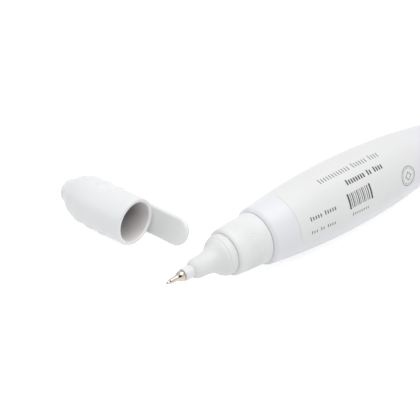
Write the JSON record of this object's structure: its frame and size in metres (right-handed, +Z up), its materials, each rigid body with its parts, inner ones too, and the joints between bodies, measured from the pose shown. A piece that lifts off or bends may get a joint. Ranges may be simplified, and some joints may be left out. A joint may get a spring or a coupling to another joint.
{
  "type": "underglaze pen",
  "caption": "Squeeze pen for ceramic underglaze: spindle-shaped bottle, screw collar, flared nozzle with a fine needle tip, and a clip cap beside it.",
  "frame": {"origin": "centre of the underside of the bounding box, on the floor the pen and its cap lie on", "axes": "+X from the needle tip towards the bottle's closed end, +Y from the pen towards the cap, +Z up"},
  "size_m": [0.1222, 0.0746, 0.0231],
  "materials": {
    "bottle_white": "satin, soft squeeze polyethylene",
    "label_film": "matt printed film",
    "collar_white": "satin, finely ribbed",
    "nozzle_white": "smooth moulded",
    "gasket_grey": "matt soft ring",
    "tip_white": "smooth moulded",
    "ferrule_metal": "pale nickelled metal, polished",
    "needle_steel": "polished wire",
    "spring_steel": "drawn spring wire",
    "inner_plastic": "plain moulded",
    "ball_steel": "polished ball",
    "cap_white": "satin, smooth",
    "seal_soft": "matt soft plug"
  },
  "bodies": {
    "pen": {"bottle": "bottle_white", "label": "label_film"},
    "front": {"nozzle": "nozzle_white", "nozzle_gasket": "gasket_grey", "tip_holder": "tip_white", "tip_ferrule": "ferrule_metal", "valve_spring": "spring_steel", "spring_seat": "inner_plastic"},
    "collar": {"collar": "collar_white"},
    "needle": {"valve_needle": "needle_steel", "needle_head": "inner_plastic"},
    "ball": {"mixing_ball": "ball_steel"},
    "cap": {"cap_shell": "cap_white", "cap_seal": "seal_soft", "cap_end_plug": "cap_white"},
    "clip": {"cap_clip": "cap_white"}
  },
  "joints": [
    {"name": "nozzle_advance", "type": "slide", "parent": "pen", "child": "front", "axis": [-1, 0, 0], "range_m": [0, 0.0045]},
    {"name": "collar_turn", "type": "hinge", "parent": "front", "child": "collar", "pos_m": [-0.02635, -0.02563, 0.01139], "axis": [-1, 0, 0], "range_deg": [0, 648]},
    {"name": "needle_press", "type": "slide", "parent": "front", "child": "needle", "axis": [1, 0, 0], "range_m": [0, 0.0006], "stiffness_N_per_m": 400, "springref_m": -0.001, "deforming": ["valve_spring"]},
    {"name": "ball_roll", "type": "slide", "parent": "pen", "child": "ball", "axis": [1, 0, 0], "range_m": [-0.008, 0.008]},
    {"name": "cap_slide", "type": "slide", "parent": "pen", "child": "cap", "axis": [-0.1219, 0.9925, 0], "range_m": [0, 0.03]},
    {"name": "clip_flex", "type": "hinge", "parent": "cap", "child": "clip", "pos_m": [-0.03859, 0.02865, 0.00472], "axis": [0.3878, 0.0476, 0.9205], "range_deg": [0, 4], "stiffness_Nm_per_rad": 1.4}
  ],
  "couplings": [
    {"joint": "collar_turn", "follows": "nozzle_advance", "rad_per_m": 2513.3}
  ]
}
